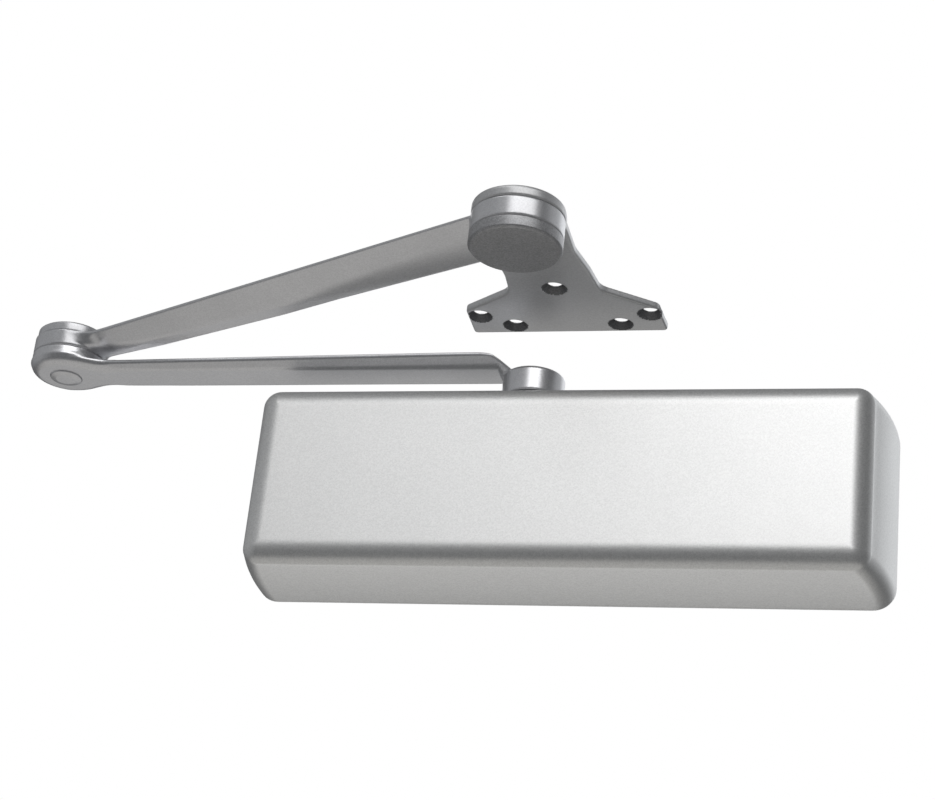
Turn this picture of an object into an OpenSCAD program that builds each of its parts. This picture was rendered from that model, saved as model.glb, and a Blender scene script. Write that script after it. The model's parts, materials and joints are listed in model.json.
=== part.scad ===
// Surface-mounted door closer with a parallel arm, a full cover and a soffit bracket.
// Millimetres. +Z is up, +X runs along the cover, and the door face is the plane y = 0.
// The origin is the centre of the four body screw holes, on the door face.

/* [Cover] */
// Length of the cover's front face
cover_front_len = 301; // [296:1:304]
// Height of the cover's front face
cover_front_h = 92.7; // [91.5:0.3:94.2]
// How far the cover's front stands from the door
cover_depth = 52; // [52:0.5:56]
// How much the cover's left end widens from front to back
cover_left_flare = 4.9; // [4:0.3:7]
// How much the cover's right end widens from front to back
cover_right_flare = 8.6; // [7:0.4:11]
// How much the cover's top and bottom each widen from front to back
cover_top_flare = 1.6; // [0.8:0.2:2]
// Wall thickness of the cover
cover_wall = 2.5; // [2:0.1:2.6]
// Edge radius round the cover's front face
cover_edge_r = 7.5; // [6:0.5:9]
// Corner radius of the cover's back rim
cover_corner_r = 11; // [10:0.5:14]
// Gap between the cover's back rim and the door
cover_back_gap = 0.5; // [0.3:0.1:1]

/* [Closer body] */
// Pinion axis, along the door
pinion_x = -19; // [-20:0.5:-18]
// Pinion axis and cylinder axis, out from the door
axis_out = 26; // [26:0.1:26.4]
// Radius of the cylinder bore
bore_r = 16; // [15.9:0.05:16.1]
// Outer radius of the cylinder
barrel_r = 22; // [21:0.5:22.5]
// Left end of the cylinder
barrel_left = -100; // [-101:0.5:-99]
// Right end of the cylinder
barrel_right = 130; // [129:0.5:131]
// Door screw spacing along the door
screw_span_x = 178; // [174:1:182]
// Door screw spacing up and down
screw_span_z = 60; // [59:0.5:61]
// Radius of the door screw holes
screw_hole_r = 3.5; // [3:0.1:4]

/* [Pinion and rack] */
// Gear module
gear_module = 1.8; // [1.78:0.01:1.82]
// Number of pinion teeth
pinion_teeth = 10; // [10:1:10]
// Pressure angle of the teeth, in degrees
pressure_angle = 25; // [24:0.5:26]
// Radius of the pinion's bearing journals
journal_r = 8; // [7.6:0.1:8]
// Width across the flats of the pinion's square end
square_af = 13; // [12:0.1:13]
// Largest turn of the pinion that the piston leaves room for, in degrees
pinion_travel = 170; // [150:1:172]

/* [Arms] */
// Main arm, from the pinion axis to the elbow axis
main_arm_len = 249.5; // [240:0.5:260]
// Forearm, from the elbow axis to the bracket axis
forearm_len = 288.5; // [286:0.5:300]
// Angle between the two arms, in degrees
elbow_angle = 24.3; // [20:0.1:60]
// Outer radius of the main arm's hub
hub_r = 15.5; // [15:0.1:16]
// Radius of the elbow boss
elbow_r = 19; // [18:0.1:20]
// Radius of the bracket knuckle
knuckle_r = 21.8; // [21:0.1:22]
// Underside of the main arm
arm_z = 65.5; // [65:0.1:66]
// Thickness of the main arm at its hub end
arm_t = 6.9; // [6.4:0.1:7.4]
// Thickness of the main arm at its elbow end
arm_tip_t = 4.8; // [4.2:0.2:6]
// Radius of the elbow pin
elbow_pin_r = 6; // [5.5:0.1:6.2]
// Radius of the knuckle pin
knuckle_pin_r = 8; // [7.5:0.1:8.2]

/* [Soffit bracket] */
// Top face of the bracket, which meets the soffit
bracket_top = 90.2; // [90.2:0.1:91]
// Thickness of the bracket plate
plate_t = 3.6; // [3.6:0.1:4.2]
// Width of the bracket's foot
foot_w = 97; // [95:0.5:100]
// Sideways offset of the foot from the knuckle axis
foot_shift = 3.5; // [0:0.5:6]
// Distance from the knuckle axis to the foot's far edge
foot_reach = 115; // [114:0.5:117]
// Distance from the knuckle axis to the outer pair of holes
outer_pair_y = 97.5; // [97:0.5:98.5]
// Distance from the knuckle axis to the inner pair of holes
inner_pair_y = 107.5; // [106:0.5:108]
// Distance from the knuckle axis to the single hole
single_hole_y = 70.5; // [68:0.5:72]
// Spacing of the outer pair
outer_pair_span = 85; // [83:0.5:85.5]
// Spacing of the inner pair
inner_pair_span = 53; // [50:0.5:56]
// Radius of the bracket's screw holes
bracket_hole_r = 3.4; // [3:0.1:3.6]
// Radius of the countersinks
countersink_r = 6.2; // [5.8:0.1:6.4]

/* [Hidden] */
$fn = 64;
fit = 0.05;
press = 0.02;
air = 0.2;
through = 1;

// Axes shared by the pieces
axis_y = -axis_out;
elbow_x = pinion_x - main_arm_len;
knuckle_x = elbow_x + forearm_len * cos(elbow_angle);
knuckle_y = axis_y - forearm_len * sin(elbow_angle);

// Levels of the elbow's layers, upwards from the main arm
boss_h = 9.8;
elbow_ring_z = arm_z + boss_h + air;
elbow_ring_h = 8.9;
elbow_disc_z = elbow_ring_z + elbow_ring_h + air;
elbow_disc_h = 5.3;
rivet_head_r = 8.6;
rivet_head_h = 1.5;
pin_in_disc = 2;
elbow_bush_r = 8.5;
seam_washer_t = air - 0.06;

// Levels of the knuckle's layers, downwards from the soffit
knuckle_disc_h = 5.8;
knuckle_ring_h = 10;
knuckle_cap_h = 6.2;
knuckle_bush_r = 10.5;
cap_floor_t = 1.9;
knuckle_disc_z = bracket_top - knuckle_disc_h;
knuckle_ring_z = knuckle_disc_z - air - knuckle_ring_h;
knuckle_cap_z = knuckle_ring_z - air - knuckle_cap_h;

// Places along the cover's depth where its curved flare is drawn: 0 is the back rim
cover_stations = [0, 0.25, 0.5, 0.75];

// Thickness of the slabs that the arms' two outlines are cut from
arm_slab = 40;

// Main arm's hub on the pinion's square end
hub_z = 49.5;
hub_h = 13.5;
hub_top = hub_z + hub_h;
hub_recess = 3.4;
hub_seat = hub_top - hub_recess;
arm_washer_r = 9.8;
washer_t = 2.2;
arm_screw_r = 4;
screw_bore_z = 42;

// Cylinder and plugs
counterbore_r = 17.5;
left_counterbore = 16;
right_counterbore = 18;
plug_flange_r = 19.5;
plug_flange_t = 4;
ring_section_r = 1.2;
ring_centre_r = counterbore_r - fit - ring_section_r;
ring_groove_r = ring_centre_r - ring_section_r - fit;
ring_groove_w = 2 * ring_section_r + air;
left_seal_in = 12;
right_seal_in = 13;

// Pinion shaft stack
boss_r = 17;
boss_top = 37;
boss_bottom = -36;
bearing_bore_r = 12.5;
gear_half = 9;
neck_r = journal_r - 0.8;
shaft_bottom = -25;
shaft_seal_h = 5;
bearing_gap = 14.2;
bearing_h = 9.8;
nut_flange_r = 15;
nut_flange_t = 4;
square_z = boss_top + nut_flange_t + 1.5;
lower_groove_in = 5;
lower_groove_w = 2.2;
lower_seal_r = 1;

// Gear geometry
pitch_r = gear_module * pinion_teeth / 2;
rack_pitch = PI * gear_module;
tooth_out = 0.89 * gear_module;
rack_out = 0.8 * gear_module;
root_in = 1.08 * gear_module;
backlash = 0.16;
base_r = pitch_r * cos(pressure_angle);
tip_r = pitch_r + tooth_out;
root_r = pitch_r - root_in;
flank_steps = 6;

// Piston
piston_travel = pitch_r * pinion_travel * PI / 180;
slot_room = 3.4;
slot_right = pinion_x + tip_r + slot_room;
slot_left = pinion_x - piston_travel - tip_r - slot_room;
slot_back = axis_y + tip_r + 0.9;
piston_end = 14;
piston_left = slot_left - piston_end;
piston_right = slot_right + piston_end;
piston_r = bore_r - 0.08;
piston_ring_in = 4;
piston_ring_w = 1.9;
piston_ring_depth = 1.75;
rack_y = axis_y - pitch_r;
check_bore_r = 3.5;
check_port_r = 1.8;
check_ball_r = 3;
check_depth = 8;

// Spring and its adjustment
spring_wire_r = 2.5;
spring_coil_r = 12;
spring_turns = 8;
spring_sides = 8;
spring_turn_steps = 24;
spring_boss_r = 9;
spring_boss_t = 4;
seat_face = 97;
seat_t = 6;
adjuster_r = 5;
collar_r = 8;
collar_x = 107;
collar_t = 4.5;
adjuster_left = 82;
adjuster_right = 135;
clip_groove_r = adjuster_r - 0.8;
clip_groove_w = 1.2;
adjuster_seal_in = 8.2;
adjuster_seal_r = 0.92;

// Valves
valve_z = -29;
valve_r = 3.92;
valve_bore_r = 4;
valve_front = -41;
valve_head_y = -44;
valve_tip_y = -22;
sweep_x = -66;
latch_x = -50;
backcheck_x = 16;
valve_ring_r = 0.66;
valve_ring_y = -36;
valve_groove_r = valve_bore_r - 2 * valve_ring_r - 0.09;
valve_groove_half = 0.75;
valve_block_half = 11;
valve_block_below = 8;
valve_block_h = 24;
valve_block_back = 12;
valve_bore_from = 19;
passage_r = 1.2;
passage_h = 18;

// Body feet and cover clips
end_band_l = 10;
end_band_out = 0.7;
web_depth = 14;
web_half_h = 18;
boss_web_in = 4;
foot_r = 10;
foot_t = 9;
base_t = 5;
base_half_h = 16;
base_left = -126;
base_right = 146;
clip_t = 1.5;
clip_hole_r = 2;
clip_screw_r = 1.95;
clip_arm = 10;
clip_hole_in = 7;
clip_play = 0.1;
rib_clearance = 1;
clip_holes = [base_left + clip_hole_in, base_right - clip_hole_in];

function at_radius(r, a) = [r * cos(a), r * sin(a)];
function degrees(radians) = radians * 180 / PI;

// Solids of revolution from a radius and height outline
module turned(outline) {
    rotate_extrude() polygon(outline);
}

// A straight ring about Z
module ring(outer_r, inner_r, h) {
    difference() {
        cylinder(r = outer_r, h = h);
        translate([0, 0, -through]) cylinder(r = inner_r, h = h + 2 * through);
    }
}

// A round seal about Z, centred on z = 0
module seal(centre_r, section_r) {
    rotate_extrude() translate([centre_r, 0]) circle(r = section_r, $fn = 32);
}

// Puts a piece drawn along +Z onto the cylinder axis, running towards +X
module on_cylinder(x) {
    translate([x, axis_y, 0]) rotate([0, 90, 0]) children();
}

// Puts a piece drawn along +Z at a point, running away from the door
module away_from_door(x, z) {
    translate([x, 0, z]) rotate([90, 0, 0]) children();
}

module at_pinion(z) {
    translate([pinion_x, axis_y, z]) children();
}

module at_elbow(z) {
    translate([elbow_x, axis_y, z]) children();
}

module at_knuckle(z) {
    translate([knuckle_x, knuckle_y, z]) children();
}

module at_feet() {
    for (sx = [-1, 1], sz = [-1, 1]) {
        translate([sx * screw_span_x / 2, 0, sz * screw_span_z / 2]) rotate([90, 0, 0]) children();
    }
}

// ---------- closer body ----------

module body_mass() {
    on_cylinder(barrel_left) cylinder(r = barrel_r, h = barrel_right - barrel_left);
    for (x = [barrel_left, barrel_right - end_band_l]) {
        on_cylinder(x) cylinder(r = barrel_r + end_band_out, h = end_band_l);
    }
    translate([base_left, -base_t, -base_half_h]) {
        cube([base_right - base_left, base_t, 2 * base_half_h]);
    }
    translate([barrel_left, -web_depth, -web_half_h]) {
        cube([barrel_right - barrel_left, web_depth, 2 * web_half_h]);
    }
    at_pinion(boss_bottom) cylinder(r = boss_r, h = boss_top - boss_bottom);
    translate([pinion_x - boss_r, axis_y, boss_bottom + boss_web_in]) {
        cube([2 * boss_r, axis_out, boss_top - boss_bottom - 2 * boss_web_in]);
    }
    at_feet() cylinder(r = foot_r, h = foot_t);
    for (sx = [-1, 1]) {
        translate([sx * screw_span_x / 2 - foot_r, -foot_t, -screw_span_z / 2]) {
            cube([2 * foot_r, foot_t, screw_span_z]);
        }
    }
    valve_block(sweep_x, latch_x);
    valve_block(backcheck_x, backcheck_x);
}

// The thick part of the wall that holds the valves from one x to another
module valve_block(from_x, to_x) {
    translate([from_x - valve_block_half, valve_front, valve_z - valve_block_below]) {
        cube([to_x - from_x + 2 * valve_block_half, -valve_front - valve_block_back, valve_block_h]);
    }
}

module valve_bore(x) {
    away_from_door(x, valve_z) {
        translate([0, 0, valve_bore_from]) cylinder(r = valve_bore_r, h = valve_block_h);
    }
    translate([x, valve_tip_y, valve_z]) cylinder(r = passage_r, h = passage_h, $fn = 24);
}

module closer_body() {
    color("silver") difference() {
        body_mass();
        on_cylinder(barrel_left - through) {
            cylinder(r = bore_r, h = barrel_right - barrel_left + 2 * through);
            cylinder(r = counterbore_r, h = left_counterbore + through);
        }
        on_cylinder(barrel_right - right_counterbore) {
            cylinder(r = counterbore_r, h = right_counterbore + through);
        }
        at_pinion(boss_bottom - through) {
            cylinder(r = bearing_bore_r, h = boss_top - boss_bottom + 2 * through);
        }
        at_feet() translate([0, 0, -through]) cylinder(r = screw_hole_r, h = foot_t + 2 * through);
        for (x = [sweep_x, latch_x, backcheck_x]) valve_bore(x);
        for (x = clip_holes) {
            away_from_door(x, 0) translate([0, 0, -through]) {
                cylinder(r = clip_hole_r, h = base_t + 2 * through);
            }
        }
    }
}

// ---------- cylinder ends ----------

// A flanged plug about Z: the flange from 0, the threaded part up to length
module plug(length, groove_at) {
    difference() {
        union() {
            translate([0, 0, -plug_flange_t]) cylinder(r = plug_flange_r, h = plug_flange_t);
            cylinder(r = counterbore_r - fit, h = length);
        }
        translate([0, 0, groove_at - ring_groove_w / 2]) {
            ring(counterbore_r + through, ring_groove_r, ring_groove_w);
        }
    }
}

module left_plug() {
    socket_r = 7;
    socket_depth = 8;
    color("dimgray") on_cylinder(barrel_left) difference() {
        plug(left_counterbore - air, left_seal_in);
        translate([0, 0, -plug_flange_t - through]) {
            cylinder(r = socket_r, h = socket_depth + through, $fn = 6);
        }
    }
}

module left_plug_seal() {
    color("black") on_cylinder(barrel_left + left_seal_in) seal(ring_centre_r, ring_section_r);
}

module spring_cap() {
    groove_r = 7;
    groove_w = 2.4;
    spanner_pitch_r = 14;
    spanner_hole_r = 2;
    spanner_depth = 3;
    color("dimgray") translate([barrel_right, axis_y, 0]) rotate([0, -90, 0]) difference() {
        plug(right_counterbore - air, right_seal_in);
        translate([0, 0, -plug_flange_t - through]) {
            cylinder(r = adjuster_r + fit, h = plug_flange_t + right_counterbore + 2 * through);
        }
        translate([0, 0, adjuster_seal_in - groove_w / 2]) cylinder(r = groove_r, h = groove_w);
        for (a = [0, 120, 240]) {
            rotate([0, 0, a]) translate([spanner_pitch_r, 0, -plug_flange_t - through]) {
                cylinder(r = spanner_hole_r, h = spanner_depth + through, $fn = 32);
            }
        }
    }
}

module spring_cap_seal() {
    color("black") on_cylinder(barrel_right - right_seal_in) seal(ring_centre_r, ring_section_r);
}

module adjuster_seal() {
    color("black") on_cylinder(barrel_right - adjuster_seal_in) {
        seal(adjuster_r + adjuster_seal_r + 2 * fit, adjuster_seal_r);
    }
}

// ---------- spring and its adjustment ----------

module spring_adjuster() {
    head_x = adjuster_right + clip_groove_w;
    head_r = 6.4;
    head_l = 5;
    socket_r = 2.9;
    socket_depth = 4.2;
    color("lightgray") on_cylinder(0) difference() {
        union() {
            translate([0, 0, adjuster_left]) cylinder(r = adjuster_r, h = adjuster_right - adjuster_left);
            translate([0, 0, collar_x]) cylinder(r = collar_r, h = collar_t);
            translate([0, 0, adjuster_right]) cylinder(r = clip_groove_r, h = clip_groove_w);
            translate([0, 0, head_x]) cylinder(r = head_r, h = head_l, $fn = 6);
        }
        translate([0, 0, head_x + head_l - socket_depth]) {
            cylinder(r = socket_r, h = socket_depth + through, $fn = 6);
        }
    }
}

module adjuster_clip() {
    clip_r = 7.6;
    gap = 3;
    color("gray") on_cylinder(adjuster_right + (clip_groove_w - 1) / 2) difference() {
        ring(clip_r, clip_groove_r + 0.1, 1);
        translate([0, -gap / 2, -through]) cube([clip_r + through, gap, 1 + 2 * through]);
    }
}

module spring_seat() {
    color("gray") on_cylinder(seat_face) difference() {
        union() {
            cylinder(r = bore_r - 2 * fit, h = seat_t);
            translate([0, 0, -spring_boss_t]) cylinder(r = spring_boss_r - air, h = spring_boss_t);
        }
        translate([0, 0, -spring_boss_t - through]) {
            cylinder(r = adjuster_r + fit, h = spring_boss_t + seat_t + 2 * through);
        }
    }
}

// One ring of the spring's wire: its points round the coil's centre line
function coil_ring(i, count, start, length) =
    let (
        turn = i / (count - 1),
        a = 360 * spring_turns * turn,
        roundness = 0.85 + 0.15 * min(1, turn * spring_turns, (1 - turn) * spring_turns),
        x = start + spring_wire_r + (length - 2 * spring_wire_r) * turn
    )
    [
        for (s = [0 : spring_sides - 1])
        let (
            b = 360 * s / spring_sides,
            r = spring_coil_r + spring_wire_r * cos(b)
        )
        [x + spring_wire_r * roundness * sin(b), axis_y + r * cos(a), r * sin(a)]
    ];

module main_spring() {
    end_gap = 0.3;
    count = spring_turns * spring_turn_steps + 1;
    start = piston_right + end_gap;
    length = seat_face - end_gap - start;
    points = [for (i = [0 : count - 1]) each coil_ring(i, count, start, length)];
    last = (count - 1) * spring_sides;
    sides = [
        for (i = [0 : count - 2], s = [0 : spring_sides - 1])
        let (a = i * spring_sides, n = (s + 1) % spring_sides)
        [a + s, a + n, a + spring_sides + n, a + spring_sides + s]
    ];
    start_cap = [[for (s = [spring_sides - 1 : -1 : 0]) s]];
    end_cap = [[for (s = [0 : spring_sides - 1]) last + s]];
    color("darkgray") polyhedron(points = points, faces = concat(sides, start_cap, end_cap));
}

// ---------- piston and pinion ----------

// The rack's outline along the slot's front side, from left to right
function rack_outline(first, last_tooth) = [
    for (k = [first : last_tooth])
    let (
        centre = pinion_x + (k + 0.5) * rack_pitch,
        half = rack_pitch / 4 - backlash / 2,
        lean = tan(pressure_angle)
    )
    each [
        [centre - half - root_in * lean, rack_y - root_in],
        [centre - half + rack_out * lean, rack_y + rack_out],
        [centre + half - rack_out * lean, rack_y + rack_out],
        [centre + half + root_in * lean, rack_y - root_in]
    ]
];

module piston_slot() {
    first = ceil((slot_left - pinion_x) / rack_pitch);
    last_tooth = floor((slot_right - pinion_x) / rack_pitch) - 1;
    translate([0, 0, -bore_r - through]) linear_extrude(2 * bore_r + 2 * through) {
        polygon(concat(
            [[slot_left, slot_back], [slot_left, rack_y - root_in]],
            rack_outline(first, last_tooth),
            [[slot_right, rack_y - root_in], [slot_right, slot_back]]
        ));
    }
}

function piston_ring_places() = [piston_left + piston_ring_in, piston_right - piston_ring_in];

module piston() {
    groove_w = piston_ring_w + 2 * fit;
    color("gainsboro") difference() {
        union() {
            on_cylinder(piston_left) cylinder(r = piston_r, h = piston_right - piston_left);
            on_cylinder(piston_right) cylinder(r = spring_boss_r - air, h = spring_boss_t);
        }
        piston_slot();
        for (x = piston_ring_places()) {
            on_cylinder(x - groove_w / 2) ring(bore_r + through, bore_r - piston_ring_depth - fit, groove_w);
        }
        on_cylinder(piston_left - through) {
            cylinder(r = check_bore_r, h = check_depth + through);
            cylinder(r = check_port_r, h = piston_end + 2 * through);
        }
    }
}

module piston_rings() {
    color("darkslategray") for (x = piston_ring_places()) {
        on_cylinder(x - piston_ring_w / 2) ring(bore_r - 0.02, bore_r - piston_ring_depth, piston_ring_w);
    }
}

module check_ball() {
    seat = piston_left + check_depth;
    back_off = sqrt(pow(check_ball_r, 2) - pow(check_port_r, 2)) + fit;
    color("silver") translate([seat - back_off, axis_y, 0]) sphere(r = check_ball_r);
}

module check_ball_retainer() {
    hole_r = 1.6;
    t = 1.3;
    color("gray") on_cylinder(piston_left) ring(check_bore_r - 0.03, hole_r, t);
}

// One flank of a pinion tooth: side is 1 or -1, u runs from the base circle to the tip
function flank_point(side, u) =
    let (
        roll = u * sqrt(pow(tip_r / base_r, 2) - 1),
        spread = degrees(roll) - atan(roll),
        mesh = degrees(tan(pressure_angle)) - pressure_angle,
        half = 90 / pinion_teeth - degrees(backlash / 2 / pitch_r)
    )
    at_radius(base_r * sqrt(1 + roll * roll), side * (half + mesh - spread));

function turned_point(p, a) = [p[0] * cos(a) - p[1] * sin(a), p[0] * sin(a) + p[1] * cos(a)];

function tooth(a) =
    let (
        rising = [for (i = [0 : flank_steps]) flank_point(-1, i / flank_steps)],
        falling = [for (i = [flank_steps : -1 : 0]) flank_point(1, i / flank_steps)],
        foot = atan2(rising[0][1], rising[0][0])
    )
    [
        for (p = concat([at_radius(root_r, foot)], rising, falling, [at_radius(root_r, -foot)]))
        turned_point(p, a)
    ];

module pinion() {
    shoulder = 4;
    color("lightgray") at_pinion(0) difference() {
        union() {
            translate([0, 0, -gear_half]) linear_extrude(2 * gear_half) {
                polygon([for (k = [0 : pinion_teeth - 1]) each tooth(-90 + k * 360 / pinion_teeth)]);
            }
            translate([0, 0, shaft_bottom]) cylinder(r = journal_r, h = -bearing_gap - shaft_bottom);
            translate([0, 0, -bearing_gap]) cylinder(r = neck_r, h = 2 * bearing_gap);
            translate([0, 0, bearing_gap]) cylinder(r = journal_r, h = square_z + shoulder - bearing_gap);
            translate([-square_af / 2, -square_af / 2, square_z]) {
                cube([square_af, square_af, hub_seat - square_z - 0.5]);
            }
        }
        translate([0, 0, screw_bore_z]) cylinder(r = arm_screw_r, h = hub_top - screw_bore_z);
    }
}

// ---------- pinion bearings and seals ----------

module upper_bearing() {
    color("tan") at_pinion(bearing_gap) ring(bearing_bore_r - fit, journal_r + fit, bearing_h);
}

module lower_bearing() {
    color("tan") at_pinion(-bearing_gap - bearing_h) {
        ring(bearing_bore_r - fit, journal_r + fit, bearing_h);
    }
}

module shaft_seal() {
    h = shaft_seal_h;
    inner = journal_r + fit;
    outer = bearing_bore_r - fit;
    color("black") at_pinion(bearing_gap + bearing_h + 0.3) turned([
        [inner, 0], [outer, 0], [outer, h], [outer - 1.4, h],
        [outer - 1.4, 1.6], [inner + 1.2, 1.6], [inner + 0.8, h - 0.6], [inner, h - 0.6]
    ]);
}

module bearing_nut() {
    z = bearing_gap + bearing_h + shaft_seal_h + 3 * air;
    inside_h = boss_top - z;
    spanner_pitch_r = 12;
    spanner_hole_r = 1.5;
    spanner_depth = 3;
    color("dimgray") at_pinion(z) difference() {
        union() {
            cylinder(r = bearing_bore_r - fit, h = inside_h);
            translate([0, 0, inside_h]) cylinder(r = nut_flange_r, h = nut_flange_t);
        }
        translate([0, 0, -through]) {
            cylinder(r = journal_r + 3 * air, h = inside_h + nut_flange_t + 2 * through);
        }
        for (a = [0 : 90 : 270]) {
            rotate([0, 0, a]) translate([spanner_pitch_r, 0, inside_h + nut_flange_t - spanner_depth]) {
                cylinder(r = spanner_hole_r, h = spanner_depth + through, $fn = 32);
            }
        }
    }
}

module lower_plug() {
    h = 9.6;
    socket_r = 6;
    socket_depth = 6;
    groove_r = bearing_bore_r - 2.1;
    color("dimgray") at_pinion(boss_bottom) difference() {
        union() {
            translate([0, 0, -nut_flange_t]) cylinder(r = nut_flange_r, h = nut_flange_t);
            cylinder(r = bearing_bore_r - fit, h = h);
        }
        translate([0, 0, lower_groove_in]) ring(bearing_bore_r + through, groove_r, lower_groove_w);
        translate([0, 0, -nut_flange_t - through]) {
            cylinder(r = socket_r, h = socket_depth + through, $fn = 6);
        }
    }
}

module lower_plug_seal() {
    color("black") at_pinion(boss_bottom + lower_groove_in + lower_groove_w / 2) {
        seal(bearing_bore_r - fit - lower_seal_r, lower_seal_r);
    }
}

// ---------- regulating valves ----------

// A valve screw about Z: the pointed tip down, the slotted head up
module valve_screw() {
    front = -valve_head_y;
    tip = -valve_tip_y;
    groove = -valve_ring_y;
    edge = 0.5;
    point_l = 5;
    slot_w = 1.2;
    slot_depth = 1.6;
    difference() {
        turned([
            [0, tip], [1.1, tip + edge], [2.4, tip + point_l], [valve_r, tip + point_l + edge],
            [valve_r, groove - valve_groove_half], [valve_groove_r, groove - valve_groove_half],
            [valve_groove_r, groove + valve_groove_half], [valve_r, groove + valve_groove_half],
            [valve_r, front - edge], [valve_r - edge, front], [0, front]
        ]);
        translate([-valve_bore_r, -slot_w / 2, front - slot_depth]) {
            cube([2 * valve_bore_r, slot_w, slot_depth + through]);
        }
    }
}

module sweep_valve() {
    color("goldenrod") away_from_door(sweep_x, valve_z) valve_screw();
}

module latch_valve() {
    color("goldenrod") away_from_door(latch_x, valve_z) valve_screw();
}

module backcheck_valve() {
    color("goldenrod") away_from_door(backcheck_x, valve_z) valve_screw();
}

module valve_seals() {
    color("black") for (x = [sweep_x, latch_x, backcheck_x]) {
        away_from_door(x, valve_z) translate([0, 0, -valve_ring_y]) {
            seal(valve_bore_r - valve_ring_r - 0.02, valve_ring_r);
        }
    }
}

// ---------- cover ----------

// The cover's outside, or its inside when inset is the wall thickness
module cover_form(inset, back) {
    half_x = cover_front_len / 2;
    half_z = cover_front_h / 2;
    run = cover_depth - cover_edge_r;
    rim_t = 0.5;
    hull() {
        for (sx = [-1, 1], sz = [-1, 1]) {
            translate([sx * (half_x - cover_edge_r), -run, sz * (half_z - cover_edge_r)]) {
                sphere(r = cover_edge_r - inset, $fn = 32);
            }
            for (t = cover_stations) {
                flare = sx > 0 ? cover_right_flare : cover_left_flare;
                r = cover_corner_r + (cover_edge_r - cover_corner_r) * t;
                x = half_x + flare * (1 - t * t) - r;
                z = half_z + cover_top_flare * (1 - t) - r;
                translate([sx * x, t > 0 ? -run * t : back, sz * z]) rotate([90, 0, 0]) {
                    cylinder(r = r - inset, h = rim_t, $fn = 32);
                }
            }
        }
    }
}

module cover() {
    notch_r = 12;
    notch_h = 15;
    notch_z = cover_front_h / 2 - cover_wall - 3;
    rib_t = 1.6;
    rib_back = 6;
    rib_in = screw_span_z / 2 + foot_r + rib_clearance;
    rib_places = [-64, 52];
    color("lightgray") difference() {
        union() {
            difference() {
                cover_form(0, -cover_back_gap);
                cover_form(cover_wall, through);
            }
            intersection() {
                cover_form(cover_wall - 0.5, -cover_back_gap);
                for (x = rib_places) {
                    difference() {
                        translate([x, -cover_depth, -cover_front_h]) {
                            cube([rib_t, cover_depth - rib_back, 2 * cover_front_h]);
                        }
                        translate([x - through, -cover_depth, -rib_in]) {
                            cube([rib_t + 2 * through, cover_depth, 2 * rib_in]);
                        }
                    }
                }
            }
        }
        at_pinion(notch_z) cylinder(r = notch_r, h = notch_h);
        translate([pinion_x - notch_r, axis_y, notch_z]) cube([2 * notch_r, axis_out + through, notch_h]);
    }
}

// Spring plates screwed to the ends of the body, which the cover's walls grip.
// side is -1 at the left end and 1 at the right end.
module cover_clip(end_x, side) {
    plate_y = -30;
    lip = 4;
    lip_depth = 14;
    tab_half_h = 8;
    window_half_h = 6;
    window_depth = 14;
    half_h = cover_front_h / 2 - cover_wall - clip_t - clip_play;
    difference() {
        union() {
            translate([side > 0 ? end_x - clip_arm : end_x, -base_t - clip_t, -tab_half_h]) {
                cube([clip_arm, clip_t, 2 * tab_half_h]);
            }
            translate([side > 0 ? end_x - clip_t : end_x, plate_y, -half_h]) {
                cube([clip_t, -plate_y - base_t, 2 * half_h]);
            }
            for (z = [-half_h - clip_t, half_h]) {
                translate([side > 0 ? end_x - lip : end_x, plate_y, z]) cube([lip, lip_depth, clip_t]);
            }
        }
        away_from_door(end_x - side * (clip_hole_in - 1), 0) {
            cylinder(r = clip_hole_r, h = base_t + clip_t + through);
        }
        translate([end_x - 2 * clip_t, plate_y - through, -window_half_h]) {
            cube([4 * clip_t, window_depth + through, 2 * window_half_h]);
        }
    }
}

module cover_clips() {
    color("gray") {
        cover_clip(base_left + 1, -1);
        cover_clip(base_right - 1, 1);
    }
}

module clip_screws() {
    head_r = 3.6;
    head_h = 2.4;
    slot_w = 1;
    slot_depth = 1;
    shank_from = 2;
    color("dimgray") for (x = clip_holes) {
        away_from_door(x, 0) {
            translate([0, 0, shank_from]) cylinder(r = clip_screw_r, h = base_t + clip_t - shank_from + fit);
            translate([0, 0, base_t + clip_t]) difference() {
                cylinder(r = head_r, h = head_h);
                translate([-head_r - through, -slot_w / 2, head_h - slot_depth]) {
                    cube([2 * (head_r + through), slot_w, slot_depth + through]);
                }
            }
        }
    }
}

// ---------- main arm ----------

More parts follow.
